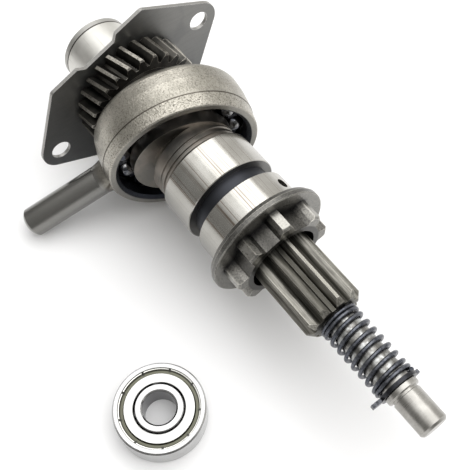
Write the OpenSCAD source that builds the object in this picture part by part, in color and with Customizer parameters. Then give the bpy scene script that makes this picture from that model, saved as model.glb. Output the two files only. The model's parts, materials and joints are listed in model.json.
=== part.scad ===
// Intermediate shaft of a rotary hammer: retaining plate and rear bearing, helical gear,
// wobble bearing with its drive finger, shift sleeve, splined pinion, spring and front
// journal, with a loose deep-groove ball bearing lying beside it.
// +X runs along the shaft towards the front journal and +Z is up. The shaft is held level, with
// the lowest corner of the plate and the end of the finger at the height of the table. The
// origin is on the shaft axis at the front face of the plate.

/* [Pose on the table] */
// Turn around the shaft that brings the plate's corner and the finger down to the table
lie_angle = 21; // [20.5:0.1:21.5]

/* [Retaining plate] */
// Thickness of the plate
plate_t = 1; // [0.8:0.1:1.6]
// Distance between the two bolt holes
hole_spacing = 50; // [48:0.5:54]
// Diameter of the two bolt holes
hole_d = 5.4; // [4:0.1:6]
// Rounding radius of the two ears
ear_r = 5.6; // [5:0.1:6.5]
// Height of the plate's flat edges above and below the axis
plate_flat_z = 18.5; // [18.2:0.1:19]
// Distance of the plate's four corners from the axis, along Y
plate_corner_y = 15; // [14:0.1:16]
// Depth of the notch in the top edge
notch_depth = 1.8; // [1:0.1:2.4]

/* [Rear bearing] */
// Outer radius of the rear bearing
rear_r = 9.75; // [9.5:0.05:10.5]
// Rear end of the bearing, behind the plate
rear_end_x = -17.2; // [-19:0.1:-16.5]
// Number of rollers in the rear bearing
rear_roller_count = 12; // [10:1:13]

/* [Helical gear] */
// Number of teeth
gear_teeth = 26; // [24:1:28]
// Tip radius of the teeth
gear_tip_r = 16.1; // [15.9:0.05:16.3]
// Front face of the gear
gear_front_x = 8.2; // [7.6:0.1:8.3]
// Helix angle at the tips
gear_helix = 15; // [8:1:18]

/* [Wobble bearing] */
// Centre of the wobble bearing along the shaft
wobble_x = 22.3; // [22.1:0.1:22.5]
// Tilt of the wobble bearing's axis away from the shaft
wobble_tilt = 15; // [14:0.5:15.5]
// Direction of that tilt around the shaft, from the plate's hole line towards its notch
wobble_azimuth = 173.8; // [170:0.1:176]
// Largest radius of the outer ring
ring_r = 20.3; // [20:0.05:20.5]
// Distance from the ring's axis to the end of the finger
finger_reach = 46.6; // [43:0.1:48]
// Radius of the finger
finger_r = 4; // [3.6:0.05:4.2]
// Number of balls
wobble_ball_count = 13; // [10:1:14]

/* [Shift sleeve] */
// Rear edge of the sleeve
sleeve_rear_x = 34.8; // [34.7:0.1:35.4]
// Radius of the sleeve's ground body
sleeve_r = 12.6; // [12.2:0.05:12.9]
// Radius of the flange
flange_r = 15.8; // [15:0.1:16.4]
// Tip radius of the front teeth
clutch_tip_r = 13.1; // [12.6:0.05:13.4]
// Number of front teeth
clutch_teeth = 8; // [7:1:9]

/* [Pinion] */
// Number of teeth
pinion_teeth = 10; // [9:1:10]
// Tip radius of the teeth
pinion_tip_r = 7.7; // [7.5:0.05:7.75]
// Front face of the pinion
pinion_front_x = 84.2; // [83.8:0.1:84.3]

/* [Spring and journal] */
// Radius of the spring's wire
wire_r = 0.48; // [0.4:0.01:0.52]
// Outer radius of the spring
spring_r = 5.1; // [4.8:0.05:5.3]
// Radius of the front journal
journal_r = 3.5; // [3.4:0.05:3.6]
// Front end of the shaft
shaft_end_x = 115.4; // [114:0.1:118]

/* [Loose bearing] */
// Outer radius of the loose bearing
loose_outer_r = 11; // [10.9:0.05:11]
// Radius of its bore
loose_bore_r = 4; // [4:0.05:4.1]
// Width of the loose bearing
loose_w = 7; // [6.9:0.05:7.1]
// Number of balls in the loose bearing
loose_ball_count = 7; // [6:1:7]

/* [Hidden] */
$fn = 96;

// Running clearance of a part on a shaft, and the gap that keeps two parts apart
run = 0.03;
gap = 0.3;

// Rear bearing
rear_wall = 2.25;
cap_t = 2.1;
seam = 0.2;
rear_journal_r = 5;
rear_roller_r = 1.23;
rear_roller_l = 8.6;
rear_centre_r = (rear_journal_r + rear_r - rear_wall) / 2;
cap_front_x = rear_end_x + cap_t;
rear_inner_front_x = -plate_t - 1.2;
rear_roller_x = (cap_front_x + rear_inner_front_x) / 2;
rear_cage_l = rear_roller_l + 2.2;

// Stations and radii along the shaft
shaft_shoulder_x = -0.3;
shaft_body_r = 6;
gear_rear_x = 0.5;
hub_rear_x = 9.6;
hub_front_x = 34.4;
hub_nose_x = 37.4;
shaft_spline_x = 38;
shaft_spline_end_x = 48;
core_r = 3.75;
clip_x = 103.85;
clip_t = 0.9;
stop_ring_l = 1.5;
stop_ring_r = 4.1;
groove_l = 0.5;
groove_r = 3.25;
journal_x = clip_x + clip_t + stop_ring_l + groove_l;

// Helical gear
gear_root_r = gear_tip_r - 2.6;
gear_phase = 106.3;
gear_w = gear_front_x - gear_rear_x;
gear_twist = gear_w * tan(gear_helix) / gear_tip_r * 180 / PI;

// Wobble bearing, along and around its own inclined axis
wobble_ball_r = 2.75;
wobble_pitch_r = 15.2;
wobble_groove_r = wobble_ball_r + run;
race_land_r = 13.4;
race_half_w = 5.4;
ring_inner_r = 17.3;
ring_rear_s = -8.6;
ring_bevel_s = -3;
ring_front_s = 5.7;
ring_front_r = ring_r - 0.45;
parting_s = 1.9;
finger_s = -2.2;
finger_turn = 184.3 - wobble_azimuth;
finger_azimuth = atan(tan(finger_turn) * cos(wobble_tilt));

// Shift sleeve
fork_groove_x = 45.2;
fork_groove_w = 4.15;
fork_groove_depth = 2;
flange_x = 57.7;
flange_w = 2.4;
clutch_w = 5.5;
clutch_root_r = 10.5;
clutch_phase = 20.7;
clutch_mouth_r = 8.9;
sleeve_bore_r = 6.3;
sleeve_spline_front_x = 53.2;
oil_hole_x = 53.4;
oil_hole_d = 2.8;
oil_hole_azimuth = 23;

// Pinion and the spline that the shaft, the hub and the sleeve share
spline_phase = 27.7;
pinion_rear_x = 49;
pinion_root_r = 5.6;
pinion_chamfer = 1.4;
spline_play = 0.12;

// Spring
spring_turns = 10;
closed_turns = 1.6;
spring_sides = 8;
turn_steps = 20;
spring_coil_r = spring_r - wire_r;
spring_x = pinion_front_x + wire_r + 0.05;
spring_l = clip_x - pinion_front_x - 2 * wire_r - 0.1;
closed_pitch = 2 * wire_r * 1.03;

// Plate corners, the lowest of which touches the table
plate_corner_r = 1.2;
plate_corner_inset = 0.5;
table_z = -(plate_corner_y - plate_corner_inset) * sin(lie_angle)
    - (plate_flat_z - plate_corner_r) * cos(lie_angle) - plate_corner_r;

// Loose bearing, lying flat on the table
loose_x = 72.1;
loose_y = -41.6;
loose_pitch_r = 7.5;
loose_ball_r = 1.98;
loose_inner_land_r = 5.75;
loose_outer_land_r = 9;
shield_r = 9.7;
shield_t = 0.28;
shield_inner_r = 6.2;
shield_recess = 0.25;
shield_channel_depth = 0.6;
crimp_count = 9;
crimp_phase = 10.4;

// Places the children, drawn around Z, around the shaft axis with their base at x0.
// Their X axis is then the line of the plate's holes, and their Y axis points at its notch.
module along_x(x0 = 0) {
    translate([x0, 0, 0]) rotate([lie_angle, 0, 0]) rotate([90, 0, 90]) children();
}

// Places the children, drawn around Z, around the inclined axis of the wobble bearing
module along_wobble() {
    along_x(wobble_x) rotate([0, 0, wobble_azimuth]) rotate([0, wobble_tilt, 0]) children();
}

// Places the children at the loose bearing's bottom centre
module at_loose() {
    translate([loose_x, loose_y, table_z]) children();
}

// Straight or conical tube between two radii, with a chamfer on each outer edge
module tube(r, bore, length, chamfer = 0.3) {
    rotate_extrude()
        polygon([
            [bore, 0], [r - chamfer, 0], [r, chamfer], [r, length - chamfer],
            [r - chamfer, length], [bore, length]
        ]);
}

// Solid cylinder with a chamfer on each edge
module bar(r, length, chamfer = 0.3) {
    rotate_extrude()
        polygon([
            [0, 0], [r - chamfer, 0], [r, chamfer], [r, length - chamfer],
            [r - chamfer, length], [0, length]
        ]);
}

// Points of one tooth: half angles at the root, middle and tip, around a centre angle
function tooth_points(a, root_r, tip_r, root_a, mid_a, tip_a) =
    let (mid_r = (root_r + tip_r) / 2)
    [
        root_r * [cos(a - root_a), sin(a - root_a)],
        mid_r * [cos(a - mid_a), sin(a - mid_a)],
        tip_r * [cos(a - tip_a), sin(a - tip_a)],
        tip_r * [cos(a + tip_a), sin(a + tip_a)],
        mid_r * [cos(a + mid_a), sin(a + mid_a)],
        root_r * [cos(a + root_a), sin(a + root_a)]
    ];

// Outline of a gear with the given number of teeth
function gear_points(count, phase, root_r, tip_r, root_a, mid_a, tip_a) = [
    for (i = [0 : count - 1])
        each tooth_points(phase + i * 360 / count, root_r, tip_r, root_a, mid_a, tip_a)
];

// Outline of the spline, grown by the given play
module spline_shape(play = 0) {
    play_a = play / pinion_tip_r * 180 / PI;
    polygon(gear_points(pinion_teeth, spline_phase, pinion_root_r + play, pinion_tip_r + play,
        13 + play_a, 9 + play_a, 2.6 + play_a));
}

// A ring of balls around Z
module ball_ring(count, pitch_r, ball_r) {
    for (i = [0 : count - 1])
        rotate([0, 0, i * 360 / count]) translate([pitch_r, 0, 0]) sphere(r = ball_r, $fn = 32);
}

// Outline of the plate: four rounded corners and two ears, joined by straight edges
module plate_outline() {
    hull() {
        for (y = [-1, 1], z = [-1, 1])
            translate([y * (plate_corner_y - plate_corner_inset), z * (plate_flat_z - plate_corner_r)])
                circle(r = plate_corner_r, $fn = 32);
        for (side = [-1, 1])
            translate([side * (hole_spacing / 2 - 0.2), 0]) circle(r = ear_r, $fn = 64);
    }
}

module retaining_plate() {
    notch_w = 9.6;
    color("dimgray")
        along_x(-plate_t)
            difference() {
                linear_extrude(plate_t)
                    difference() {
                        plate_outline();
                        translate([0, plate_flat_z])
                            polygon([
                                [-notch_w / 2 - notch_depth, 0.1], [-notch_w / 2, -notch_depth],
                                [notch_w / 2, -notch_depth], [notch_w / 2 + notch_depth, 0.1]
                            ]);
                    }
                for (side = [-1, 1])
                    translate([side * hole_spacing / 2, 0, -1]) cylinder(d = hole_d, h = plate_t + 2);
                translate([0, 0, -1]) cylinder(r = shaft_body_r + 1, h = plate_t + 2);
            }
}

module rear_bearing_sleeve() {
    length = -plate_t - cap_front_x;
    inner_r = rear_r - rear_wall;
    color("gainsboro")
        along_x(cap_front_x)
            rotate_extrude()
                polygon([
                    [inner_r, 0], [rear_r - seam, 0], [rear_r, seam], [rear_r, length - 0.4],
                    [rear_r - 0.4, length], [inner_r - 0.9, length], [inner_r - 0.9, length - 0.9],
                    [inner_r, length - 0.9]
                ]);
}

module rear_bearing_end_cap() {
    rim = 0.9;
    dish = 0.35;
    color("silver")
        along_x(rear_end_x)
            rotate_extrude()
                polygon([
                    [0, dish], [rear_r - rim - 1.4, dish], [rear_r - rim - 1, 0], [rear_r - rim, 0],
                    [rear_r - 0.35, 0.15], [rear_r, rim * 0.6], [rear_r, cap_t - seam],
                    [rear_r - seam, cap_t], [0, cap_t]
                ]);
}

module rear_rollers() {
    color("silver")
        along_x(rear_roller_x)
            for (i = [0 : rear_roller_count - 1])
                rotate([0, 0, i * 360 / rear_roller_count])
                    translate([rear_centre_r, 0, -rear_roller_l / 2])
                        cylinder(r = rear_roller_r, h = rear_roller_l, $fn = 32);
}

module rear_cage() {
    pocket_r = rear_roller_r + 0.06;
    pocket_l = rear_roller_l + 0.3;
    color("darkgoldenrod")
        along_x(rear_roller_x)
            difference() {
                translate([0, 0, -rear_cage_l / 2])
                    tube(rear_centre_r + 0.9, rear_centre_r - 0.9, rear_cage_l, 0.1);
                for (i = [0 : rear_roller_count - 1])
                    rotate([0, 0, i * 360 / rear_roller_count])
                        translate([rear_centre_r, 0, -pocket_l / 2])
                            cylinder(r = pocket_r, h = pocket_l, $fn = 32);
            }
}

module main_shaft() {
    rear_x = cap_front_x + gap;
    color("silver")
        union() {
            along_x(rear_x) bar(rear_journal_r - 0.02, shaft_shoulder_x - rear_x + 1, 0.5);
            along_x(shaft_shoulder_x) bar(shaft_body_r, shaft_spline_x - shaft_shoulder_x + 0.5);
            intersection() {
                along_x(shaft_spline_x)
                    linear_extrude(shaft_spline_end_x - shaft_spline_x) spline_shape();
                along_x(shaft_spline_x)
                    bar(pinion_tip_r + 0.1, shaft_spline_end_x - shaft_spline_x, 0.6);
            }
            along_x(shaft_spline_end_x - 1)
                bar(core_r, clip_x + clip_t + stop_ring_l - shaft_spline_end_x + 1, 0.1);
            along_x(journal_x - groove_l - 1) bar(groove_r, groove_l + 2, 0.05);
            along_x(journal_x)
                rotate_extrude()
                    polygon([
                        [0, 0], [journal_r - 0.15, 0], [journal_r, 0.15],
                        [journal_r, shaft_end_x - journal_x - 0.55],
                        [journal_r - 0.55, shaft_end_x - journal_x], [0, shaft_end_x - journal_x]
                    ]);
        }
}

module rear_thrust_washer() {
    washer_t = 1;
    color("silver")
        along_x(shaft_shoulder_x - washer_t)
            tube(shaft_body_r + 0.4, rear_journal_r, washer_t, 0.1);
}

module helical_gear() {
    chamfer = 0.5;
    web_depth = 0.9;
    color("dimgray")
        difference() {
            intersection() {
                along_x(gear_rear_x)
                    linear_extrude(gear_w, twist = gear_twist, slices = 6)
                        polygon(gear_points(gear_teeth, gear_phase + gear_twist,
                            gear_root_r, gear_tip_r, 5.4, 3.6, 1.5));
                along_x(gear_rear_x) bar(gear_tip_r + 0.05, gear_w, chamfer);
            }
            along_x(gear_rear_x - 1) cylinder(r = shaft_body_r, h = gear_w + 2);
            along_x(gear_front_x - web_depth) tube(gear_root_r - 1.6, shaft_body_r + 2.4, web_depth + 1, 0);
        }
}

module gear_spacer() {
    color("silver")
        along_x(gear_front_x) tube(shaft_body_r + 2.2, shaft_body_r, hub_rear_x - gear_front_x - 0.1, 0.15);
}

// Points of a shallow groove cut into an outline of the given radius
function groove_points(r, depth, z, width) = [
    [r, z], [r - depth, z + depth / 2], [r - depth, z + width - depth / 2], [r, z + width]
];

module wobble_hub() {
    collar_r = 11.5;
    collar_z = 6.5;
    neck_r = 8;
    rear_collar_r = 8.8;
    length = hub_front_x - wobble_x;
    groove_depth = 0.35;
    groove_w = 0.8;
    groove_zs = [length - 3, length - 1.4];
    color("dimgray")
        difference() {
            union() {
                along_wobble()
                    rotate_extrude()
                        difference() {
                            translate([0, -race_half_w]) square([race_land_r, 2 * race_half_w]);
                            translate([wobble_pitch_r, 0]) circle(r = wobble_groove_r);
                        }
                along_x(hub_rear_x) bar(rear_collar_r, wobble_x - hub_rear_x);
                along_x(wobble_x)
                    rotate_extrude()
                        polygon([
                            [0, 0], [neck_r, 0], [collar_r - 1.5, collar_z - 1.5],
                            [collar_r, collar_z],
                            for (z = groove_zs) each groove_points(collar_r, groove_depth, z, groove_w),
                            [collar_r, length - 0.3], [collar_r - 0.3, length], [0, length]
                        ]);
                along_x(hub_front_x - 0.5) linear_extrude(hub_nose_x - hub_front_x + 0.5) spline_shape();
            }
            along_x(hub_rear_x - 1) cylinder(r = shaft_body_r + run, h = hub_nose_x - hub_rear_x + 2);
        }
}

module wobble_balls() {
    color("whitesmoke") along_wobble() ball_ring(wobble_ball_count, wobble_pitch_r, wobble_ball_r);
}

module wobble_cage() {
    cage_inner_r = 14;
    cage_outer_r = 16.4;
    cage_rear_s = -3.8;
    cage_front_s = 0.9;
    color("dimgray")
        along_wobble()
            difference() {
                translate([0, 0, cage_rear_s])
                    tube(cage_outer_r, cage_inner_r, cage_front_s - cage_rear_s, 0.2);
                for (i = [0 : wobble_ball_count - 1])
                    rotate([0, 0, i * 360 / wobble_ball_count])
                        translate([cage_inner_r - 1, 0, 0]) rotate([0, 90, 0])
                            cylinder(r = wobble_ball_r + 0.08, h = cage_outer_r - cage_inner_r + 2, $fn = 32);
            }
}

// Half section of the wobble ring, tapered behind a bevel line to a rounded rear shoulder, with
// a small step at the parting line and a wide chamfer at its front mouth
module ring_section() {
    shoulder_r = 3;
    rear_side_r = ring_r - 0.3;
    mouth = 0.35;
    front_mouth = 0.9;
    step = 0.14;
    difference() {
        polygon(concat(
            [[ring_inner_r, ring_rear_s + mouth], [ring_inner_r + mouth, ring_rear_s]],
            [
                for (a = [-90 : 15 : 0])
                    [
                        rear_side_r - shoulder_r + shoulder_r * cos(a),
                        ring_rear_s + shoulder_r + shoulder_r * sin(a)
                    ]
            ],
            [
                [ring_r, ring_bevel_s], [ring_r, parting_s - step], [ring_r - step, parting_s + step],
                [ring_front_r, ring_front_s - 0.3], [ring_front_r - 0.3, ring_front_s],
                [ring_inner_r + front_mouth, ring_front_s], [ring_inner_r, ring_front_s - front_mouth]
            ]
        ));
        translate([wobble_pitch_r, 0]) circle(r = wobble_groove_r);
    }
}

module wobble_ring() {
    finger_root = 18.6;
    color("lightgray")
        along_wobble()
            union() {
                rotate_extrude($fn = 128) ring_section();
                rotate([0, 0, finger_azimuth]) translate([finger_root, 0, finger_s])
                    rotate([0, 90, 0]) rotate_extrude()
                        polygon([
                            [0, 0], [finger_r + 1.2, 0], [finger_r + 0.7, 1.6],
                            [finger_r + 0.3, 3], [finger_r, 4.8],
                            [finger_r, finger_reach - finger_root - 0.8],
                            [finger_r - 0.8, finger_reach - finger_root],
                            [0, finger_reach - finger_root]
                        ]);
            }
}

module shift_sleeve() {
    length = flange_x - sleeve_rear_x;
    groove_z = fork_groove_x - sleeve_rear_x;
    front_x = flange_x + flange_w + clutch_w;
    color("gainsboro")
        difference() {
            union() {
                along_x(sleeve_rear_x)
                    rotate_extrude($fn = 128)
                        polygon([
                            [0, 0], [sleeve_r - 0.4, 0], [sleeve_r, 0.4], [sleeve_r, groove_z - 0.2],
                            [sleeve_r - 0.2, groove_z], [sleeve_r - fork_groove_depth, groove_z],
                            [sleeve_r - fork_groove_depth, groove_z + fork_groove_w],
                            [sleeve_r - 0.2, groove_z + fork_groove_w],
                            [sleeve_r, groove_z + fork_groove_w + 0.2], [sleeve_r, length - 0.4],
                            [sleeve_r + 0.4, length], [flange_r - 0.6, length],
                            [flange_r - 0.3, length + 0.9], [flange_r, length + 1.1],
                            [flange_r, length + flange_w - 0.2],
                            [flange_r - 0.2, length + flange_w], [0, length + flange_w]
                        ]);
                intersection() {
                    along_x(flange_x)
                        linear_extrude(flange_w + clutch_w)
                            polygon(gear_points(clutch_teeth, clutch_phase,
                                clutch_root_r, clutch_tip_r, 11.5, 8.5, 4.6));
                    along_x(flange_x) bar(clutch_tip_r + 0.1, flange_w + clutch_w, 0.7);
                }
            }
            along_x(sleeve_rear_x - 1)
                linear_extrude(sleeve_spline_front_x - sleeve_rear_x + 1) spline_shape(spline_play);
            along_x(sleeve_rear_x - 1)
                cylinder(r = sleeve_bore_r, h = shaft_spline_x + 0.5 - sleeve_rear_x + 1);
            along_x(sleeve_spline_front_x)
                cylinder(r = clutch_mouth_r, h = front_x - sleeve_spline_front_x + 1);
            along_x(oil_hole_x) rotate([0, 0, oil_hole_azimuth]) rotate([0, 90, 0])
                cylinder(d = oil_hole_d, h = sleeve_r + 1, $fn = 32);
        }
}

module pinion() {
    length = pinion_front_x - pinion_rear_x;
    color("dimgray")
        difference() {
            intersection() {
                along_x(pinion_rear_x) linear_extrude(length) spline_shape();
                along_x(pinion_rear_x) bar(pinion_tip_r + 0.1, length, pinion_chamfer);
            }
            along_x(pinion_rear_x - 1) cylinder(r = core_r + run, h = length + 2);
        }
}

// Distance along the spring at a number of turns from its rear end
function spring_rise(turn) =
    let (
        open_turns = spring_turns - 2 * closed_turns,
        open_pitch = (spring_l - 2 * closed_turns * closed_pitch) / open_turns
    )
    turn < closed_turns ? turn * closed_pitch
    : turn > spring_turns - closed_turns ? spring_l - (spring_turns - turn) * closed_pitch
    : closed_turns * closed_pitch + (turn - closed_turns) * open_pitch;

// Points of the wire's outline at a number of turns, around the Z axis
function wire_ring(turn) =
    let (a = 360 * turn, z = spring_rise(turn))
    [
        for (k = [0 : spring_sides - 1])
            let (b = 360 * k / spring_sides, r = spring_coil_r + wire_r * cos(b))
            [r * cos(a), r * sin(a), z + wire_r * sin(b)]
    ];

module spring() {
    steps = spring_turns * turn_steps;
    points = [for (i = [0 : steps]) each wire_ring(i / turn_steps)];
    side_faces = [
        for (i = [0 : steps - 1], k = [0 : spring_sides - 1])
            let (n = (k + 1) % spring_sides, low = i * spring_sides, high = low + spring_sides)
            [low + k, high + k, high + n, low + n]
    ];
    rear_face = [for (k = [0 : spring_sides - 1]) k];
    front_face = [for (k = [spring_sides - 1 : -1 : 0]) steps * spring_sides + k];
    color("darkslategray")
        along_x(spring_x)
            polyhedron(
                points = points,
                faces = concat([rear_face, front_face], side_faces),
                convexity = 10
            );
}

module retaining_clip() {
    ring_outer_r = 4.9;
    tab_w = 1.3;
    long_tab_reach = 7.4;
    short_tab_reach = 5.6;
    color("darkslategray")
        along_x(clip_x)
            difference() {
                union() {
                    cylinder(r = ring_outer_r, h = clip_t);
                    rotate([0, 0, 161]) translate([0, -tab_w / 2, 0]) cube([long_tab_reach, tab_w, clip_t]);
                    rotate([0, 0, -18]) translate([0, -tab_w / 2, 0]) cube([short_tab_reach, tab_w, clip_t]);
                }
                translate([0, 0, -1]) cylinder(r = core_r, h = clip_t + 2);
            }
}

module front_stop_ring() {
    color("whitesmoke")
        along_x(clip_x + clip_t) tube(stop_ring_r, core_r, stop_ring_l - 0.05, 0.2);
}

module loose_outer_ring() {
    seat_depth = shield_recess + shield_channel_depth + shield_t + 0.05;
    color("gainsboro")
        at_loose()
            rotate_extrude($fn = 128)
                difference() {
                    polygon([
                        [shield_r, 0], [loose_outer_r - 0.4, 0], [loose_outer_r, 0.4],
                        [loose_outer_r, loose_w - 0.4], [loose_outer_r - 0.4, loose_w],
                        [shield_r, loose_w], [shield_r, loose_w - seat_depth],
                        [loose_outer_land_r, loose_w - seat_depth],
                        [loose_outer_land_r, seat_depth], [shield_r, seat_depth]
                    ]);
                    translate([loose_pitch_r, loose_w / 2]) circle(r = loose_ball_r + run, $fn = 48);
                }
}

module loose_inner_ring() {
    color("gainsboro")
        at_loose()
            rotate_extrude()
                difference() {
                    polygon([
                        [loose_bore_r, 0.4], [loose_bore_r + 0.4, 0], [loose_inner_land_r - 0.2, 0],
                        [loose_inner_land_r, 0.2], [loose_inner_land_r, loose_w - 0.2],
                        [loose_inner_land_r - 0.2, loose_w], [loose_bore_r + 0.4, loose_w],
                        [loose_bore_r, loose_w - 0.4]
                    ]);
                    translate([loose_pitch_r, loose_w / 2]) circle(r = loose_ball_r + run, $fn = 48);
                }
}

module loose_balls() {
    color("whitesmoke")
        at_loose() translate([0, 0, loose_w / 2]) ball_ring(loose_ball_count, loose_pitch_r, loose_ball_r);
}

module loose_cage() {
    cage_half_w = 2.35;
    color("darkgoldenrod")
        at_loose()
            translate([0, 0, loose_w / 2])
                difference() {
                    translate([0, 0, -cage_half_w])
                        tube(loose_pitch_r + 0.45, loose_pitch_r - 0.45, 2 * cage_half_w, 0.05);
                    for (i = [0 : loose_ball_count - 1])
                        rotate([0, 0, i * 360 / loose_ball_count])
                            translate([loose_pitch_r - 1.5, 0, 0]) rotate([0, 90, 0])
                                cylinder(r = loose_ball_r + 0.06, h = 3, $fn = 32);
                }
}

// Shield drawn face up with its flat face at z = 0: a flat disc, a deep channel and a curled
// rim that is crimped at equal steps
module shield() {
    channel_r = shield_r - 1.45;
    crimp_w = 0.55;
    difference() {
        rotate_extrude($fn = 128)
            polygon([
                [shield_inner_r, -shield_t], [shield_inner_r, 0], [channel_r, 0],
                [channel_r + 0.3, -shield_channel_depth], [shield_r - 0.45, -shield_channel_depth],
                [shield_r - 0.3, -0.1], [shield_r - 0.1, -0.05], [shield_r, -0.15],
                [shield_r, -shield_channel_depth - shield_t],
                [channel_r + 0.1, -shield_channel_depth - shield_t], [channel_r - 0.2, -shield_t]
            ]);
        for (i = [0 : crimp_count - 1])
            rotate([0, 0, crimp_phase + i * 360 / crimp_count])
                translate([shield_r - 0.5, -crimp_w / 2, -0.4]) cube([1, crimp_w, 1]);
    }
}

module loose_shield_top() {
    color("silver") at_loose() translate([0, 0, loose_w - shield_recess]) shield();
}

module loose_shield_bottom() {
    color("silver") at_loose() translate([0, 0, shield_recess]) mirror([0, 0, 1]) shield();
}

retaining_plate();
rear_bearing_sleeve();
rear_bearing_end_cap();
rear_rollers();
rear_cage();
main_shaft();
rear_thrust_washer();
helical_gear();
gear_spacer();
wobble_hub();
wobble_balls();
wobble_cage();
wobble_ring();
shift_sleeve();
pinion();
spring();
retaining_clip();
front_stop_ring();
loose_outer_ring();
loose_inner_ring();
loose_balls();
loose_cage();
loose_shield_top();
loose_shield_bottom();
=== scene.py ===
"""Looks for the intermediate shaft with its wobble bearing and the loose ball bearing."""
import json
import math

import bpy
from mathutils import Matrix, Vector


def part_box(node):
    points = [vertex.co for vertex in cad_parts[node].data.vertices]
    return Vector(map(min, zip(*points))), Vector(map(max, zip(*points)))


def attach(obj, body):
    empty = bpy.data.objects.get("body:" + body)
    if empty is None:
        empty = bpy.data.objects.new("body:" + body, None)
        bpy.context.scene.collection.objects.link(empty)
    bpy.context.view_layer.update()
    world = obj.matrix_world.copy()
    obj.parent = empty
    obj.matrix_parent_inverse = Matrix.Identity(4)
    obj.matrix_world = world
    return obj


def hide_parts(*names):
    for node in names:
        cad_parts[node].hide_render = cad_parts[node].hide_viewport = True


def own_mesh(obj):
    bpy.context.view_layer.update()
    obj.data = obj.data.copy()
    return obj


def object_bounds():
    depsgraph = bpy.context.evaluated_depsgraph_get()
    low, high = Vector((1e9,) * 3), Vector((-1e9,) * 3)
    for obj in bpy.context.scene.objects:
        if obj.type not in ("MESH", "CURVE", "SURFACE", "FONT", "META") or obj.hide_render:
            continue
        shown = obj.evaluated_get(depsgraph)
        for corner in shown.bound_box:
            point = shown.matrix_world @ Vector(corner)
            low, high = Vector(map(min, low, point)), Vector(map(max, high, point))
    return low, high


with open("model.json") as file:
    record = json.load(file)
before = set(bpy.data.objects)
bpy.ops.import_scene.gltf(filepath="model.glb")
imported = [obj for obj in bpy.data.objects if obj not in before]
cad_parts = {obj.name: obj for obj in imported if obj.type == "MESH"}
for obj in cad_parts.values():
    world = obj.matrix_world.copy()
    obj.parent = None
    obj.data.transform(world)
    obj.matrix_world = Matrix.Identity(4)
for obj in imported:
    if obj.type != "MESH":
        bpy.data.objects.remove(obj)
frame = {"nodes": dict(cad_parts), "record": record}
CAD_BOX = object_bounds()
NODES = frame["nodes"]
MM = 0.001

# ---------------------------------------------------------------- stations and settings
# Read from the frame
JOINTS = {joint["name"]: joint for joint in frame["record"]["behaviour"]["joints"]}
MOUNTS = {mount["name"]: mount for mount in frame["record"]["mounts"]}
FLOOR_Z = CAD_BOX[0][2]
LIE_ANGLE = math.atan2(MOUNTS["plate_hole_high"]["pos_m"][2], MOUNTS["plate_hole_high"]["pos_m"][1])
SHAFT = ((0.0, 0.0, 0.0), (1.0, 0.0, 0.0))
WOBBLE = (JOINTS["wobble_swing"]["pos_m"], JOINTS["wobble_swing"]["axis"])
PLATE_LOW, PLATE_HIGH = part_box("retaining_plate")
CAP_FRONT_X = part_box("rear_bearing_end_cap")[1][0]
SPRING_LOW, SPRING_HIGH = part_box("spring")
GEAR_R = (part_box("helical_gear")[1][1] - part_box("helical_gear")[0][1]) / 2
PINION_R = (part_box("pinion")[1][1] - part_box("pinion")[0][1]) / 2

# Shift sleeve, from the rear: ground drum with the fork groove, flange, and clutch teeth
SLEEVE_R = 12.6 * MM
FORK_GROOVE_X = MOUNTS["fork_groove"]["pos_m"][0]
FORK_GROOVE_HALF = 2.08 * MM
FLANGE_T = 2.4 * MM
CLUTCH_L = 5.5 * MM
CLUTCH_R = 13.1 * MM
CLUTCH_ROOT_R = 10.5 * MM
FLANGE_FRONT_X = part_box("shift_sleeve")[1][0] - CLUTCH_L
FLANGE_REAR_X = FLANGE_FRONT_X - FLANGE_T

# Wobble ring, with distances along its own axis
RING_R = 20.3 * MM
RING_MOUTH_R = 18.2 * MM
RING_PARTING_S = 1.9 * MM
RING_FRONT_S = 5.7 * MM

# Spring: the radius where its oxide is rubbed most
SPRING_RUBBED_R = 5.1 * MM

# Painted shade on the lower side of round parts: heights where it starts and where it is full
SLEEVE_SHADE_Z = (8 * MM, 2 * MM)
RING_SHADE_Z = (5 * MM, -5 * MM)

# Loose bearing, with heights from its middle and the angle of the first crimp in degrees
LOOSE_LOW, LOOSE_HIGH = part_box("loose_outer_ring")
LOOSE = (tuple((LOOSE_LOW + LOOSE_HIGH) / 2), (0.0, 0.0, 1.0))
LOOSE_HALF_W = (LOOSE_HIGH[2] - LOOSE_LOW[2]) / 2
LOOSE_BORE_R = 4 * MM
SHIELD_R = 9.7 * MM
SHIELD_INNER_R = 6.2 * MM
CHANNEL_R = 8.25 * MM
CRIMPS = 9
FIRST_CRIMP = 10.4

# Camera: where it stands, and its right and backward directions
CAMERA_PLACE = (0.1287, -0.0562, 0.1612)
CAMERA_RIGHT = (0.6008, 0.7990, -0.0271)
CAMERA_BACK = (0.4060, -0.2758, 0.8713)

# Room light: an axis, where its ramp starts and ends, and the brightness at both ends
ROOM = (("Z", 0.1, 0.95, 0.28, 0.4), ("Y", 0.1, 0.8, 0.0, 0.6))

# Ceiling softboxes: both edges along Y in metres, and the brightness
SOFTBOXES = ((-0.50, -0.33, 0.45), (-0.33, -0.12, 1.1), (-0.12, 0.46, 2.1))


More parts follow.
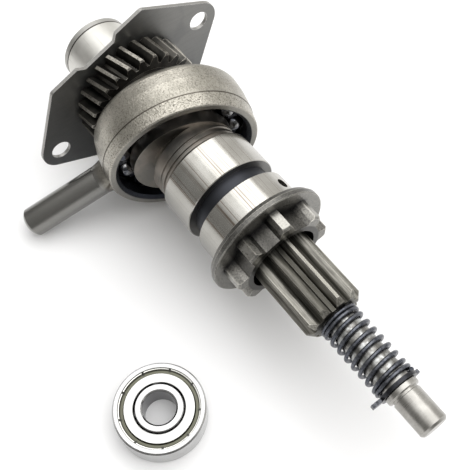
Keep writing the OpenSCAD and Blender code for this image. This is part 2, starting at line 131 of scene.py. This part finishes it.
# ---------------------------------------------------------------- node helpers
class Graph:
    """A small helper that adds shader nodes to one material."""

    def __init__(self, name):
        self.material = bpy.data.materials.new(name)
        self.material.use_nodes = True
        self.tree = self.material.node_tree
        self.tree.nodes.clear()
        self.shader = self.tree.nodes.new("ShaderNodeBsdfPrincipled")
        output = self.tree.nodes.new("ShaderNodeOutputMaterial")
        self.link(self.shader.outputs[0], output.inputs[0])
        self.coordinates = self.tree.nodes.new("ShaderNodeTexCoord").outputs["Object"]

    def link(self, source, target):
        self.tree.links.new(source, target)

    def put(self, socket, value):
        """Links a socket or sets a plain value."""
        if isinstance(value, bpy.types.NodeSocket):
            self.link(value, socket)
        else:
            socket.default_value = value

    def math(self, operation, a, b=None, clamp=False):
        node = self.tree.nodes.new("ShaderNodeMath")
        node.operation = operation
        node.use_clamp = clamp
        self.put(node.inputs[0], a)
        if b is not None:
            self.put(node.inputs[1], b)
        return node.outputs[0]

    def times(self, product, *factors):
        """The product of two or more numbers or sockets."""
        for factor in factors:
            product = self.math("MULTIPLY", product, factor)
        return product

    def vector_math(self, operation, a, b=None, output="Vector"):
        node = self.tree.nodes.new("ShaderNodeVectorMath")
        node.operation = operation
        self.put(node.inputs[0], a)
        if b is not None:
            self.put(node.inputs[1], b)
        return node.outputs[output]

    def vector(self, x, y, z):
        node = self.tree.nodes.new("ShaderNodeCombineXYZ")
        for socket, value in zip(node.inputs, (x, y, z)):
            self.put(socket, value)
        return node.outputs[0]

    def split(self, vector):
        node = self.tree.nodes.new("ShaderNodeSeparateXYZ")
        self.link(vector, node.inputs[0])
        return node.outputs

    def noise(self, vector, scale, detail=3.0, roughness=0.55):
        node = self.tree.nodes.new("ShaderNodeTexNoise")
        self.link(vector, node.inputs["Vector"])
        node.inputs["Scale"].default_value = scale
        node.inputs["Detail"].default_value = detail
        node.inputs["Roughness"].default_value = roughness
        return node.outputs["Fac"]

    def cells(self, vector, scale):
        node = self.tree.nodes.new("ShaderNodeTexVoronoi")
        self.link(vector, node.inputs["Vector"])
        node.inputs["Scale"].default_value = scale
        return node.outputs["Distance"]

    def ramp(self, value, low, high, to_low=0.0, to_high=1.0):
        """Maps low..high to to_low..to_high with a smooth step."""
        node = self.tree.nodes.new("ShaderNodeMapRange")
        node.interpolation_type = "SMOOTHSTEP"
        self.put(node.inputs["Value"], value)
        node.inputs["From Min"].default_value = low
        node.inputs["From Max"].default_value = high
        node.inputs["To Min"].default_value = to_low
        node.inputs["To Max"].default_value = to_high
        return node.outputs["Result"]

    def band(self, value, low, high, soft):
        """One inside low..high and zero outside, with soft edges."""
        inside = self.ramp(value, low - soft, low + soft)
        beyond = self.ramp(value, high - soft, high + soft)
        return self.math("SUBTRACT", inside, beyond, clamp=True)

    def mix(self, factor, a, b):
        """Mixes two colours, each a socket or red, green and blue."""
        node = self.tree.nodes.new("ShaderNodeMix")
        node.data_type = "RGBA"
        self.put(node.inputs[0], factor)
        self.put(node.inputs[6], colour(a) if isinstance(a, tuple) else a)
        self.put(node.inputs[7], colour(b) if isinstance(b, tuple) else b)
        return node.outputs[2]

    def blend(self, factor, a, b):
        """Mixes two numbers."""
        node = self.tree.nodes.new("ShaderNodeMix")
        node.data_type = "FLOAT"
        self.put(node.inputs[0], factor)
        self.put(node.inputs[2], a)
        self.put(node.inputs[3], b)
        return node.outputs[0]

    def edges(self, radius):
        """High on sharp convex or concave edges, from the bevelled normal; the materials lighten these
        edges as painted highlight, on the working parts together with wear.
        """
        bevel = self.tree.nodes.new("ShaderNodeBevel")
        bevel.samples = 6
        bevel.inputs["Radius"].default_value = radius
        geometry = self.tree.nodes.new("ShaderNodeNewGeometry")
        normal = geometry.outputs["Normal"]
        agree = self.vector_math("DOT_PRODUCT", bevel.outputs[0], normal, "Value")
        return self.ramp(agree, 0.99, 0.86)

    def corners(self, reach):
        """High in corners and at the foot of teeth, from ambient occlusion; the materials darken these
        places as painted shade.
        """
        open_sky = self.tree.nodes.new("ShaderNodeAmbientOcclusion")
        open_sky.samples = 8
        open_sky.inputs["Distance"].default_value = reach
        return self.ramp(open_sky.outputs["AO"], 0.95, 0.5)

    def bump(self, height, distance, strength):
        node = self.tree.nodes.new("ShaderNodeBump")
        node.inputs["Distance"].default_value = distance
        node.inputs["Strength"].default_value = strength
        self.link(height, node.inputs["Height"])
        self.link(node.outputs[0], self.shader.inputs["Normal"])

    def finish(self, base, roughness, metallic=1.0):
        self.put(self.shader.inputs["Base Color"], colour(base) if isinstance(base, tuple) else base)
        self.put(self.shader.inputs["Roughness"], roughness)
        self.shader.inputs["Metallic"].default_value = metallic
        return self.material


def colour(rgb):
    return (*rgb, 1.0)


def about(g, line):
    """Distance along an axis and out from it, for an anchor and a direction, in metres."""
    anchor, axis = line
    step = g.vector_math("SUBTRACT", g.coordinates, anchor)
    along = g.vector_math("DOT_PRODUCT", step, axis, "Value")
    across = g.vector_math("CROSS_PRODUCT", step, axis)
    return along, g.vector_math("LENGTH", across, output="Value")


def shaded_underside(g, shade_z):
    """High on the lower side of a round part on the shaft, which the materials darken as painted
    shade.
    """
    return g.ramp(g.split(g.coordinates)[2], *shade_z)


def notches(g, line, count, first, width):
    """High at evenly spaced angles around a vertical axis; width is a share of the pitch."""
    x, y, _ = g.split(g.coordinates)
    anchor = line[0]
    angle = g.math("ARCTAN2", g.math("SUBTRACT", y, anchor[1]), g.math("SUBTRACT", x, anchor[0]))
    turns = g.math("SUBTRACT", g.times(angle, count / (2 * math.pi)), first * count / 360 - 0.5)
    off = g.math("ABSOLUTE", g.math("SUBTRACT", g.math("FRACT", turns), 0.5))
    return g.ramp(off, width, width * 0.6)


def turned_rings(g, position, scale=9000.0):
    """Fine rings left by turning and grinding, from one position in metres."""
    return g.noise(g.vector(position, 0.0, 0.0), scale, detail=4.0, roughness=0.7)


def streaks(g, factors, scale):
    """Drawn-out scratches, long where a factor is small."""
    return g.noise(g.vector_math("MULTIPLY", g.coordinates, factors), scale, roughness=0.6)


# ---------------------------------------------------------------- materials
def ground_steel():
    """Rear drum and washers: ground steel, with a dark seam between the drum and its end cap."""
    g = Graph("ground_steel")
    x, _ = about(g, SHAFT)
    rings = turned_rings(g, x)
    stain = g.noise(g.coordinates, 180.0)
    scratch = streaks(g, (0.05, 1.0, 1.0), 1600.0)
    edge = g.edges(0.25 * MM)
    seam = g.band(x, CAP_FRONT_X - 0.2 * MM, CAP_FRONT_X + 0.22 * MM, 0.12 * MM)
    cap = g.ramp(x, CAP_FRONT_X, CAP_FRONT_X - 0.2 * MM)
    base = g.mix(g.ramp(stain, 0.35, 0.7), (0.64, 0.63, 0.595), (0.72, 0.71, 0.675))
    base = g.mix(g.ramp(scratch, 0.58, 0.74, 0.0, 0.35), base, (0.33, 0.31, 0.28))
    base = g.mix(g.times(cap, 0.6), base, (0.3, 0.297, 0.285))
    # Edges lightened: painted highlight, partly worn steel.
    base = g.mix(edge, base, (0.74, 0.73, 0.7))
    base = g.mix(seam, base, (0.05, 0.045, 0.04))
    smooth = g.math("ADD", g.ramp(rings, 0.3, 0.7, 0.3, 0.4), g.ramp(stain, 0.3, 0.7, 0.0, 0.06))
    g.bump(rings, 0.004 * MM, 0.6)
    return g.finish(base, g.math("ADD", smooth, g.times(cap, 0.1)))


def journal_steel():
    """Shaft, stop ring and front journal: greyer ground steel, with lighter patches inside the spring
    as painted highlight and darker patches under its coils as painted shade.
    """
    g = Graph("journal_steel")
    x, _ = about(g, SHAFT)
    rings = turned_rings(g, x, 6000.0)
    stain = g.noise(g.coordinates, 240.0)
    scratch = streaks(g, (1.0, 0.15, 0.15), 1800.0)
    edge = g.edges(0.2 * MM)
    mottle = g.noise(g.coordinates, 520.0)
    base = g.mix(g.ramp(stain, 0.35, 0.7), (0.33, 0.32, 0.3), (0.44, 0.43, 0.405))
    base = g.mix(g.ramp(scratch, 0.55, 0.75, 0.0, 0.4), base, (0.2, 0.19, 0.175))
    coiled = g.ramp(x, SPRING_HIGH[0], SPRING_HIGH[0] - 1 * MM)
    # Painted highlight: lighter mottled patches on the shaft inside the spring.
    base = g.mix(g.times(coiled, g.ramp(mottle, 0.45, 0.6)), base, (0.56, 0.57, 0.56))
    # Painted shade: darker patches where the spring coils hide the shaft.
    shaded_zone = g.times(coiled, g.corners(1.5 * MM), g.ramp(mottle, 0.62, 0.42, 0.3, 1.0))
    # Edges lightened: painted highlight, partly worn steel.
    base = g.mix(edge, base, (0.62, 0.61, 0.58))
    base = g.mix(g.times(shaded_zone, 0.8), base, (0.06, 0.06, 0.06))
    g.bump(rings, 0.006 * MM, 0.6)
    return g.finish(base, g.ramp(rings, 0.3, 0.7, 0.24, 0.36))


def plate_steel():
    """Stamped sheet with a dark satin skin, lighter towards its upper end as a painted reflection."""
    g = Graph("plate_steel")
    x, _, z = g.split(g.coordinates)
    blotch = g.noise(g.coordinates, 90.0)
    grain = g.noise(g.coordinates, 2600.0, detail=5.0)
    brushed = streaks(g, (1.0, 0.12, 1.0), 1500.0)
    edge = g.edges(0.35 * MM)
    wall = g.band(x, PLATE_LOW[0] + 0.08 * MM, PLATE_HIGH[0] - 0.08 * MM, 0.05 * MM)
    # Painted reflection: the sheet turns lighter towards its upper end.
    uneven_z = g.math("ADD", z, g.times(blotch, 8 * MM))
    rise = g.ramp(uneven_z, PLATE_LOW[2], PLATE_HIGH[2] + 4 * MM)
    base = g.mix(rise, (0.125, 0.129, 0.132), (0.215, 0.213, 0.203))
    base = g.mix(g.ramp(brushed, 0.42, 0.7, 0.0, 0.1), base, (0.07, 0.072, 0.075))
    base = g.mix(g.ramp(blotch, 0.55, 0.7, 0.0, 0.3), base, (0.09, 0.092, 0.1))
    # Edges lightened: painted highlight broken up by grain, partly worn steel.
    base = g.mix(g.times(edge, g.ramp(grain, 0.25, 0.55)), base, (0.55, 0.545, 0.53))
    base = g.mix(g.times(wall, g.ramp(grain, 0.3, 0.6, 0.4, 0.7)), base, (0.42, 0.41, 0.39))
    g.bump(grain, 0.012 * MM, 0.5)
    return g.finish(base, g.ramp(grain, 0.3, 0.7, 0.32, 0.46), 0.9)


def gear_steel():
    """Dark hardened flanks and roots with bright worn tips."""
    g = Graph("gear_steel")
    _, radius = about(g, SHAFT)
    grain = g.noise(g.coordinates, 1500.0, detail=4.0)
    oil = g.noise(g.coordinates, 260.0)
    tip = g.ramp(radius, GEAR_R - 0.28 * MM, GEAR_R - 0.04 * MM)
    lightened = g.times(tip, g.ramp(grain, 0.3, 0.62, 0.12, 0.5))
    edge = g.edges(0.24 * MM)
    # Painted shade: darker in the corners and at the foot of the teeth, with no edge highlight there.
    corner_shade = g.corners(1.6 * MM)
    # Lighter worn tips, and edges lightened as painted highlight.
    bright = g.math("MAXIMUM", lightened, g.times(edge, 0.95))
    bright = g.times(bright, g.math("SUBTRACT", 1.0, corner_shade))
    base = g.mix(g.ramp(oil, 0.35, 0.65), (0.045, 0.044, 0.041), (0.1, 0.095, 0.085))
    base = g.mix(g.times(corner_shade, 0.7), base, (0.018, 0.017, 0.015))
    base = g.mix(bright, base, (0.56, 0.53, 0.47))
    g.bump(grain, 0.01 * MM, 0.5)
    return g.finish(base, g.blend(bright, 0.4, 0.27), 0.97)


def forged_steel():
    """Wobble ring: blasted grain, coarser in front of the parting line, and a ground finger."""
    g = Graph("forged_steel")
    s, radius = about(g, WOBBLE)
    grit = g.noise(g.coordinates, 2500.0, detail=6.0, roughness=0.75)
    pits = g.cells(g.coordinates, 1900.0)
    cloud = g.noise(g.coordinates, 110.0)
    edge = g.edges(0.25 * MM)
    finger = g.ramp(radius, RING_R + 1.2 * MM, RING_R + 3.5 * MM)
    front = g.ramp(s, RING_PARTING_S - 0.1 * MM, RING_PARTING_S + 0.1 * MM)
    line = g.band(s, RING_PARTING_S - 0.16 * MM, RING_PARTING_S + 0.12 * MM, 0.1 * MM)
    face = g.ramp(s, RING_FRONT_S - 0.12 * MM, RING_FRONT_S - 0.02 * MM)
    bore = g.ramp(radius, RING_MOUTH_R + 0.2 * MM, RING_MOUTH_R - 0.2 * MM)
    coarse = g.times(g.blend(front, 0.7, 1.0), g.blend(finger, 1.0, 0.2), g.blend(face, 1.0, 0.3))
    rubbed = streaks(g, (0.2, 0.2, 1.0), 1400.0)
    base = g.mix(g.ramp(cloud, 0.3, 0.72), (0.31, 0.295, 0.255), (0.5, 0.475, 0.42))
    base = g.mix(g.times(coarse, g.ramp(grit, 0.5, 0.36)), base, (0.09, 0.082, 0.068))
    base = g.mix(g.times(coarse, g.ramp(grit, 0.55, 0.7)), base, (0.72, 0.665, 0.585))
    base = g.mix(g.ramp(rubbed, 0.55, 0.72, 0.0, 0.25), base, (0.17, 0.165, 0.15))
    # Painted shade: the lower side of the ring is darkened.
    base = g.mix(g.times(shaded_underside(g, RING_SHADE_Z), 0.6), base, (0.12, 0.113, 0.1))
    base = g.mix(g.times(line, 0.95), base, (0.07, 0.06, 0.05))
    base = g.mix(g.times(face, 0.5), base, (0.17, 0.17, 0.165))
    base = g.mix(g.times(finger, 0.75), base, (0.235, 0.235, 0.228))
    # Edges lightened: painted highlight, partly worn steel.
    base = g.mix(g.times(edge, 0.6), base, (0.6, 0.58, 0.53))
    # Painted shade: the inside of the mouth, with its race, is painted near black.
    base = g.mix(bore, base, (0.03, 0.033, 0.042))
    height = g.times(coarse, g.math("ADD", grit, g.times(pits, 0.6)))
    g.bump(height, 0.09 * MM, 0.85)
    return g.finish(base, g.blend(finger, g.ramp(grit, 0.3, 0.7, 0.38, 0.27), 0.27), 0.97)


def hub_steel():
    """Wobble hub: dark steel under a film of oil, brownish where the film is thin."""
    g = Graph("hub_steel")
    x, _ = about(g, SHAFT)
    oil = g.noise(g.coordinates, 130.0)
    rings = turned_rings(g, x, 5000.0)
    edge = g.edges(0.2 * MM)
    base = g.mix(g.ramp(oil, 0.35, 0.7), (0.2, 0.192, 0.176), (0.33, 0.295, 0.26))
    base = g.mix(g.ramp(rings, 0.5, 0.75, 0.0, 0.4), base, (0.05, 0.045, 0.04))
    # Edges lightened: painted highlight, partly worn steel.
    base = g.mix(edge, base, (0.34, 0.32, 0.29))
    g.bump(rings, 0.006 * MM, 0.5)
    return g.finish(base, g.ramp(oil, 0.3, 0.7, 0.32, 0.46))


def sleeve_steel():
    """Shift sleeve: ground drum, fork groove darkened by black oxide and by painted shade, and a dull
    flange with clutch teeth.
    """
    g = Graph("sleeve_steel")
    x, radius = about(g, SHAFT)
    rings = turned_rings(g, x)
    grain = g.noise(g.coordinates, 2400.0, detail=5.0)
    haze = g.noise(g.coordinates, 150.0)
    scratch = streaks(g, (0.03, 1.0, 1.0), 1500.0)
    edge = g.edges(0.22 * MM)
    inside = g.band(x, FORK_GROOVE_X - FORK_GROOVE_HALF, FORK_GROOVE_X + FORK_GROOVE_HALF, 0.04 * MM)
    groove = g.times(inside, g.ramp(radius, SLEEVE_R - 0.05 * MM, SLEEVE_R - 0.2 * MM))
    dull = g.ramp(x, FLANGE_REAR_X - 0.5 * MM, FLANGE_REAR_X + 0.1 * MM)
    front = g.ramp(x, FLANGE_FRONT_X - 0.2 * MM, FLANGE_FRONT_X + 0.2 * MM)
    corner_shade = g.corners(2.6 * MM)
    crest = g.times(front, g.ramp(radius, CLUTCH_R - 0.4 * MM, CLUTCH_R - 0.1 * MM))
    mouth = g.times(front, g.ramp(radius, CLUTCH_ROOT_R + 0.2 * MM, CLUTCH_ROOT_R - 0.4 * MM))
    drum = g.mix(g.ramp(haze, 0.3, 0.7), (0.43, 0.42, 0.39), (0.51, 0.5, 0.47))
    drum = g.mix(g.ramp(scratch, 0.58, 0.76, 0.0, 0.4), drum, (0.3, 0.27, 0.24))
    # Thin brown lines along the axis.
    axial_lines = streaks(g, (0.003, 1.0, 1.0), 300.0)
    drum = g.mix(g.band(axial_lines, 0.496, 0.504, 0.005), drum, (0.22, 0.175, 0.14))
    # Painted shade: the lower side of the drum is darkened.
    drum = g.mix(g.times(shaded_underside(g, SLEEVE_SHADE_Z), 0.55), drum, (0.2, 0.195, 0.18))
    flange = g.mix(g.ramp(grain, 0.35, 0.65), (0.105, 0.103, 0.098), (0.18, 0.175, 0.162))
    teeth = g.mix(g.ramp(grain, 0.35, 0.65), (0.15, 0.146, 0.138), (0.27, 0.262, 0.24))
    rubbed = g.times(crest, g.ramp(grain, 0.3, 0.65, 0.4, 1.0))
    teeth = g.mix(rubbed, teeth, (0.4, 0.39, 0.36))
    teeth = g.mix(g.times(mouth, 0.85), teeth, (0.03, 0.029, 0.027))
    base = g.mix(dull, drum, g.mix(front, flange, teeth))
    # Painted shade in the corners of the flange and teeth.
    base = g.mix(g.times(corner_shade, dull, 0.85), base, (0.022, 0.022, 0.024))
    # Edges lightened as painted highlight and wear, except in the corners and near the tooth roots,
    # which lie in painted shade.
    shaded_zone = g.times(front, g.ramp(radius, CLUTCH_ROOT_R + 1.2 * MM, CLUTCH_ROOT_R + 0.4 * MM))
    lightened = g.times(edge, g.math("SUBTRACT", 1.0, g.math("MAXIMUM", corner_shade, shaded_zone)))
    base = g.mix(g.times(lightened, g.blend(dull, 0.5, 1.0)), base, (0.66, 0.64, 0.58))
    # Fork groove darkened: black oxide, deepened with painted shade.
    base = g.mix(groove, base, (0.045, 0.047, 0.054))
    smooth = g.math("ADD", g.ramp(rings, 0.3, 0.7, 0.15, 0.23), g.ramp(haze, 0.4, 0.7, 0.0, 0.06))
    rough = g.blend(dull, smooth, g.ramp(grain, 0.3, 0.7, 0.27, 0.4))
    rough = g.blend(groove, rough, 0.42)
    g.bump(g.blend(dull, rings, grain), 0.005 * MM, 0.5)
    return g.finish(base, rough)


def pinion_steel():
    """Splined pinion: olive gaps darkened by painted shade, streaked flanks and thin tips with painted
    edge highlights.
    """
    g = Graph("pinion_steel")
    _, radius = about(g, SHAFT)
    streak = streaks(g, (0.08, 1.0, 1.0), 2300.0)
    edge = g.edges(0.2 * MM)
    tip = g.ramp(radius, PINION_R - 0.22 * MM, PINION_R - 0.05 * MM)
    root = g.ramp(radius, PINION_R - 0.9 * MM, PINION_R - 1.7 * MM)
    outer = g.ramp(radius, PINION_R - 0.5 * MM, PINION_R - 0.2 * MM, 0.25, 1.0)
    # Painted highlight along the outer tooth edges.
    bright = g.times(edge, outer)
    base = g.mix(g.ramp(streak, 0.3, 0.7), (0.12, 0.116, 0.102), (0.31, 0.3, 0.27))
    # Painted shade: tooth roots and corners darkened.
    base = g.mix(g.times(root, 0.7), base, (0.045, 0.043, 0.034))
    base = g.mix(g.times(g.corners(1.8 * MM), 0.6), base, (0.03, 0.029, 0.023))
    base = g.mix(g.times(tip, g.ramp(streak, 0.35, 0.65, 0.3, 1.0)), base, (0.3, 0.29, 0.255))
    base = g.mix(bright, base, (0.62, 0.6, 0.55))
    g.bump(streak, 0.012 * MM, 0.6)
    return g.finish(base, g.blend(bright, g.ramp(streak, 0.3, 0.7, 0.34, 0.48), 0.26))


def black_oxide():
    """Blue-black oxide, rubbed on the outside of the spring and darker on the clip in front of it."""
    g = Graph("black_oxide")
    x, radius = about(g, SHAFT)
    grain = g.noise(g.coordinates, 1400.0, detail=4.0)
    rub = g.times(g.ramp(radius, SPRING_RUBBED_R - 0.2 * MM, SPRING_RUBBED_R), g.ramp(grain, 0.3, 0.7))
    clip = g.ramp(x, SPRING_HIGH[0], SPRING_HIGH[0] + 0.05 * MM)
    base = g.mix(g.ramp(grain, 0.35, 0.7), (0.06, 0.065, 0.08), (0.11, 0.116, 0.134))
    base = g.mix(g.times(clip, 0.8), base, (0.022, 0.022, 0.024))
    base = g.mix(g.times(rub, 0.5), base, (0.18, 0.185, 0.2))
    g.bump(grain, 0.01 * MM, 0.4)
    return g.finish(base, g.ramp(grain, 0.3, 0.7, 0.24, 0.36), 0.9)


def bearing_steel():
    """Bearing rings, balls and rollers: superfinished, with painted edge highlights, painted shade in
    the bore and a dark line by the shield.
    """
    g = Graph("bearing_steel")
    height, radius = about(g, LOOSE)
    lip = g.band(radius, SHIELD_R - 0.08 * MM, SHIELD_R + 0.08 * MM, 0.05 * MM)
    lip = g.times(lip, g.ramp(height, LOOSE_HALF_W - 0.5 * MM, LOOSE_HALF_W - 0.2 * MM))
    bore = g.ramp(radius, LOOSE_BORE_R + 0.12 * MM, LOOSE_BORE_R + 0.04 * MM)
    haze = g.noise(g.coordinates, 300.0)
    fine = g.noise(g.coordinates, 5200.0, detail=3.0)
    edge = g.edges(0.2 * MM)
    base = g.mix(g.ramp(haze, 0.35, 0.7), (0.42, 0.42, 0.42), (0.52, 0.52, 0.52))
    # Painted highlight on the edges.
    base = g.mix(edge, base, (0.74, 0.74, 0.74))
    base = g.mix(g.times(lip, 0.8), base, (0.12, 0.12, 0.1))
    # Painted shade in the bore.
    base = g.mix(bore, base, (0.15, 0.15, 0.155))
    g.bump(fine, 0.002 * MM, 0.4)
    return g.finish(base, g.ramp(haze, 0.3, 0.7, 0.12, 0.22))


def oiled_ball():
    """Balls of the wobble bearing: a darker, mottled copy of the bearing steel, as painted shade
    inside the ring.
    """
    g = Graph("oiled_ball")
    mottle = g.noise(g.coordinates, 420.0)
    # Painted shade: the balls are darkened.
    base = g.mix(g.ramp(mottle, 0.35, 0.65), (0.07, 0.075, 0.09), (0.3, 0.3, 0.3))
    g.bump(mottle, 0.01 * MM, 0.3)
    return g.finish(base, g.ramp(mottle, 0.3, 0.7, 0.1, 0.24))


def shield_steel():
    """Shields of the loose bearing: turned rings, a dark sunk channel and a crimped rim."""
    g = Graph("shield_steel")
    height, radius = about(g, LOOSE)
    rings = turned_rings(g, radius, 7000.0)
    haze = g.noise(g.coordinates, 260.0)
    sunk = g.ramp(g.math("ABSOLUTE", height), LOOSE_HALF_W - 0.3 * MM, LOOSE_HALF_W - 0.6 * MM)
    channel = g.times(sunk, g.ramp(radius, CHANNEL_R - 0.05 * MM, CHANNEL_R + 0.15 * MM))
    gutter = g.band(radius, SHIELD_R - 0.6 * MM, SHIELD_R - 0.42 * MM, 0.06 * MM)
    rim = g.band(radius, SHIELD_R - 0.4 * MM, SHIELD_R - 0.12 * MM, 0.05 * MM)
    inner_edge = g.ramp(radius, SHIELD_INNER_R + 0.14 * MM, SHIELD_INNER_R + 0.02 * MM)
    nicks = notches(g, LOOSE, CRIMPS, FIRST_CRIMP, 0.05)
    nicks = g.times(nicks, g.ramp(radius, SHIELD_R - 0.9 * MM, SHIELD_R - 0.7 * MM))
    edge = g.edges(0.15 * MM)
    base = g.mix(g.ramp(haze, 0.35, 0.7), (0.46, 0.46, 0.45), (0.56, 0.56, 0.55))
    # Painted highlight on the edges.
    base = g.mix(edge, base, (0.75, 0.75, 0.74))
    base = g.mix(channel, base, (0.11, 0.11, 0.085))
    base = g.mix(gutter, base, (0.05, 0.05, 0.04))
    base = g.mix(g.times(rim, 0.7), base, (0.7, 0.69, 0.65))
    base = g.mix(nicks, base, (0.05, 0.05, 0.045))
    base = g.mix(inner_edge, base, (0.3, 0.3, 0.29))
    g.bump(rings, 0.004 * MM, 0.5)
    return g.finish(base, g.blend(channel, g.ramp(rings, 0.3, 0.7, 0.2, 0.32), 0.35))


def cage_steel():
    """Ball and roller cages: dark oiled sheet."""
    g = Graph("cage_steel")
    haze = g.noise(g.coordinates, 500.0)
    base = g.mix(g.ramp(haze, 0.35, 0.7), (0.035, 0.038, 0.05), (0.08, 0.08, 0.085))
    g.bump(haze, 0.01 * MM, 0.5)
    return g.finish(base, g.ramp(haze, 0.3, 0.7, 0.3, 0.42))


MATERIALS = {
    "ground_steel": ground_steel(),
    "plate_steel": plate_steel(),
    "gear_steel": gear_steel(),
    "forged_steel": forged_steel(),
    "hub_steel": hub_steel(),
    "sleeve_steel": sleeve_steel(),
    "pinion_steel": pinion_steel(),
    "black_spring": black_oxide(),
    "bearing_steel": bearing_steel(),
    "shield_steel": shield_steel(),
    "cage_steel": cage_steel(),
}
JOURNAL = journal_steel()
NODE_MATERIALS = {"wobble_balls": oiled_ball(), "main_shaft": JOURNAL, "front_stop_ring": JOURNAL}


def paint_nodes():
    """Gives each CAD node its own finish, or that of its slot in the record."""
    slots = {part["node"]: part["material_slot"] for part in frame["record"]["subparts"]}
    for name, node in NODES.items():
        node.data.materials.clear()
        node.data.materials.append(NODE_MATERIALS.get(name) or MATERIALS[slots[name]])


# ---------------------------------------------------------------- the spring, as a smooth swept wire
def spring_rise(turn, turns, closed_turns, closed_pitch, length):
    """Distance along the spring at a number of turns from its rear end."""
    open_pitch = (length - 2 * closed_turns * closed_pitch) / (turns - 2 * closed_turns)
    if turn < closed_turns:
        return turn * closed_pitch
    if turn > turns - closed_turns:
        return length - (turns - turn) * closed_pitch
    return closed_turns * closed_pitch + (turn - closed_turns) * open_pitch


def add_spring():
    """Sweeps a round wire along the coil."""
    wire_r = 0.48 * MM
    turns = 10
    closed_turns = 1.6
    turn_steps = 48
    sides = 16
    coil_r = (SPRING_HIGH[1] - SPRING_LOW[1]) / 2 - wire_r
    length = SPRING_HIGH[0] - SPRING_LOW[0] - 2 * wire_r
    closed_pitch = 2.06 * wire_r
    start_x = SPRING_LOW[0] + wire_r
    steps = turns * turn_steps
    points = []
    for i in range(steps + 1):
        turn = i / turn_steps
        rise = spring_rise(turn, turns, closed_turns, closed_pitch, length)
        angle = 2 * math.pi * turn + LIE_ANGLE
        for k in range(sides):
            around = 2 * math.pi * k / sides
            x = start_x + rise + wire_r * math.sin(around)
            out = coil_r + wire_r * math.cos(around)
            points.append((x, out * math.cos(angle), out * math.sin(angle)))
    faces = []
    for i in range(steps):
        for k in range(sides):
            n = (k + 1) % sides
            low = i * sides
            high = low + sides
            faces.append((low + k, high + k, high + n, low + n))
    faces.append(tuple(range(sides)))
    last = steps * sides
    faces.append(tuple(last + k for k in reversed(range(sides))))
    mesh = bpy.data.meshes.new("coil_spring")
    mesh.from_pydata(points, [], faces)
    mesh.validate()
    for face in mesh.polygons:
        face.use_smooth = len(face.vertices) == 4
    mesh.materials.append(MATERIALS["black_spring"])
    spring = bpy.data.objects.new("coil_spring", mesh)
    bpy.context.scene.collection.objects.link(spring)
    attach(spring, "shaft")
    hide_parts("spring")
    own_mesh(spring)


# ---------------------------------------------------------------- camera, light and floor
def add_camera():
    data = bpy.data.cameras.new("camera")
    data.lens = 60.0
    data.sensor_width = 36.0
    data.clip_start = 0.005
    camera = bpy.data.objects.new("camera", data)
    bpy.context.scene.collection.objects.link(camera)
    right = Vector(CAMERA_RIGHT).normalized()
    back = Vector(CAMERA_BACK)
    back = (back - right * back.dot(right)).normalized()
    up = back.cross(right)
    turn = Matrix((right, up, back)).transposed().to_4x4()
    camera.matrix_world = Matrix.Translation(CAMERA_PLACE) @ turn
    bpy.context.scene.camera = camera


def add_area(name, place, size, power):
    """A rectangular lamp that shines straight down, which is how a lamp starts out."""
    data = bpy.data.lights.new(name, "AREA")
    data.shape = "RECTANGLE"
    data.size, data.size_y = size
    data.energy = power
    lamp = bpy.data.objects.new(name, data)
    bpy.context.scene.collection.objects.link(lamp)
    lamp.location = place


def add_floor():
    mesh = bpy.data.meshes.new("floor")
    half = 3.0
    signs = ((-1, -1), (1, -1), (1, 1), (-1, 1))
    mesh.from_pydata([(x * half, y * half, FLOOR_Z) for x, y in signs], [], [(0, 1, 2, 3)])
    floor = bpy.data.objects.new("floor", mesh)
    bpy.context.scene.collection.objects.link(floor)
    g = Graph("floor_white")
    paper = g.noise(g.coordinates, 900.0)
    g.bump(paper, 0.01 * MM, 0.1)
    mesh.materials.append(g.finish((0.91, 0.91, 0.915), g.ramp(paper, 0.3, 0.7, 0.55, 0.65), 0.0))


def add_world():
    """A dim room that brightens towards the ceiling and towards +Y."""
    world = bpy.data.worlds.new("studio")
    bpy.context.scene.world = world
    world.use_nodes = True
    tree = world.node_tree
    background = tree.nodes["Background"]
    direction = tree.nodes.new("ShaderNodeTexCoord").outputs["Generated"]
    split = tree.nodes.new("ShaderNodeSeparateXYZ")
    tree.links.new(direction, split.inputs[0])
    levels = []
    for axis, start, end, low, high in ROOM:
        ramp = tree.nodes.new("ShaderNodeMapRange")
        ramp.interpolation_type = "SMOOTHSTEP"
        tree.links.new(split.outputs[axis], ramp.inputs["Value"])
        ramp.inputs["From Min"].default_value = start
        ramp.inputs["From Max"].default_value = end
        ramp.inputs["To Min"].default_value = low
        ramp.inputs["To Max"].default_value = high
        levels.append(ramp.outputs["Result"])
    total = tree.nodes.new("ShaderNodeMath")
    total.operation = "ADD"
    tree.links.new(levels[0], total.inputs[0])
    tree.links.new(levels[1], total.inputs[1])
    tree.links.new(total.outputs[0], background.inputs["Strength"])
    background.inputs["Color"].default_value = (1.0, 0.985, 0.95, 1.0)


def add_ceiling():
    """Softboxes side by side over the table, with a thin dark gap between them."""
    middle_x = 0.05
    height = 0.5
    gap = 0.02
    length = 1.1
    for number, (low, high, glow) in enumerate(SOFTBOXES):
        width = high - low - gap
        place = (middle_x, (low + high) / 2, height)
        power = glow * math.pi * length * width
        add_area(f"ceiling_{number}", place, (length, width), power)


bpy.context.scene.view_settings.view_transform = "Standard"
paint_nodes()
add_spring()
add_camera()
add_floor()
add_world()
add_ceiling()
